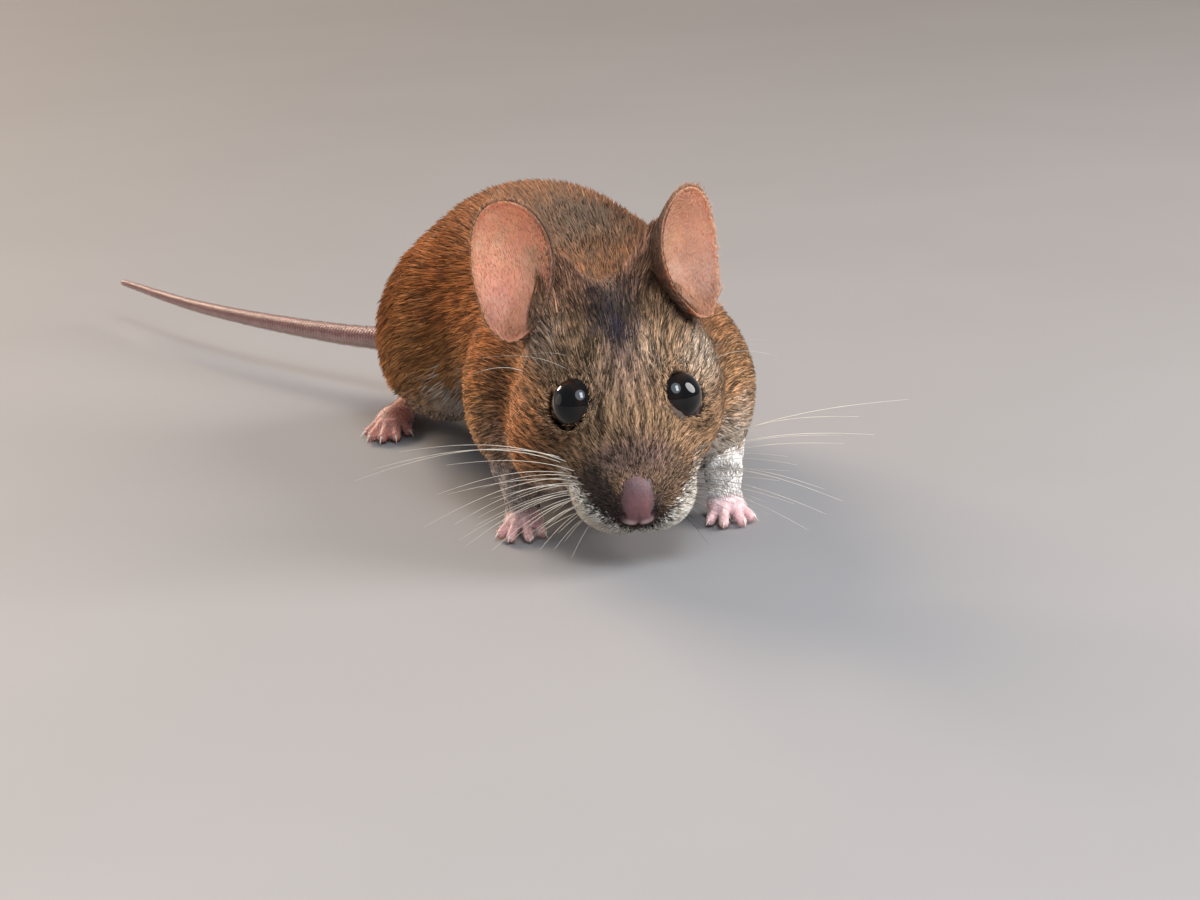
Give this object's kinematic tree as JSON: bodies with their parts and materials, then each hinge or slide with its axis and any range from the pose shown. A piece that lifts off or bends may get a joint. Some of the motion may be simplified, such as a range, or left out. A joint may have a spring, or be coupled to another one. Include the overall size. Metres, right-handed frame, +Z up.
{
  "type": "wood mouse",
  "caption": "Still, life-size wood mouse crouched on its four feet, head stretched forward and down to sniff the floor, ears up, tail trailing behind to one side.",
  "frame": {"origin": "middle of the bounding box in plan, on the floor under the feet", "axes": "+Z up, -Y the way the mouse looks, +X its own left side"},
  "size_m": [0.1078, 0.1508, 0.0383],
  "materials": {
    "fur_brown": "dense agouti-brown fur with dark guard hairs",
    "fur_pale": "short cream-white fur",
    "bare_skin": "bare pink skin, satin",
    "ear_skin": "thin, finely haired ear skin",
    "tail_skin": "ringed scaly skin with sparse hairs",
    "eye": "wet glossy black"
  },
  "bodies": {
    "root": {"upper_arm_right": "fur_brown", "upper_arm_left": "fur_brown", "thigh_right": "fur_brown", "thigh_left": "fur_brown", "neck": "fur_brown", "chest": "fur_brown", "loin": "fur_brown", "rump": "fur_brown", "eye_right": "eye", "eye_left": "eye", "nose": "bare_skin", "jaw": "fur_pale", "whisker_pad_right": "fur_pale", "whisker_pad_left": "fur_pale", "head": "fur_brown", "ear_right": "ear_skin", "ear_left": "ear_skin", "forearm_right": "fur_brown", "forepaw_right": "bare_skin", "shank_right": "fur_brown", "hind_foot_right": "bare_skin", "forearm_left": "fur_brown", "forepaw_left": "bare_skin", "shank_left": "fur_brown", "hind_foot_left": "bare_skin", "tail_1": "tail_skin", "tail_2": "tail_skin", "tail_3": "tail_skin", "tail_4": "tail_skin"}
  },
  "joints": []
}
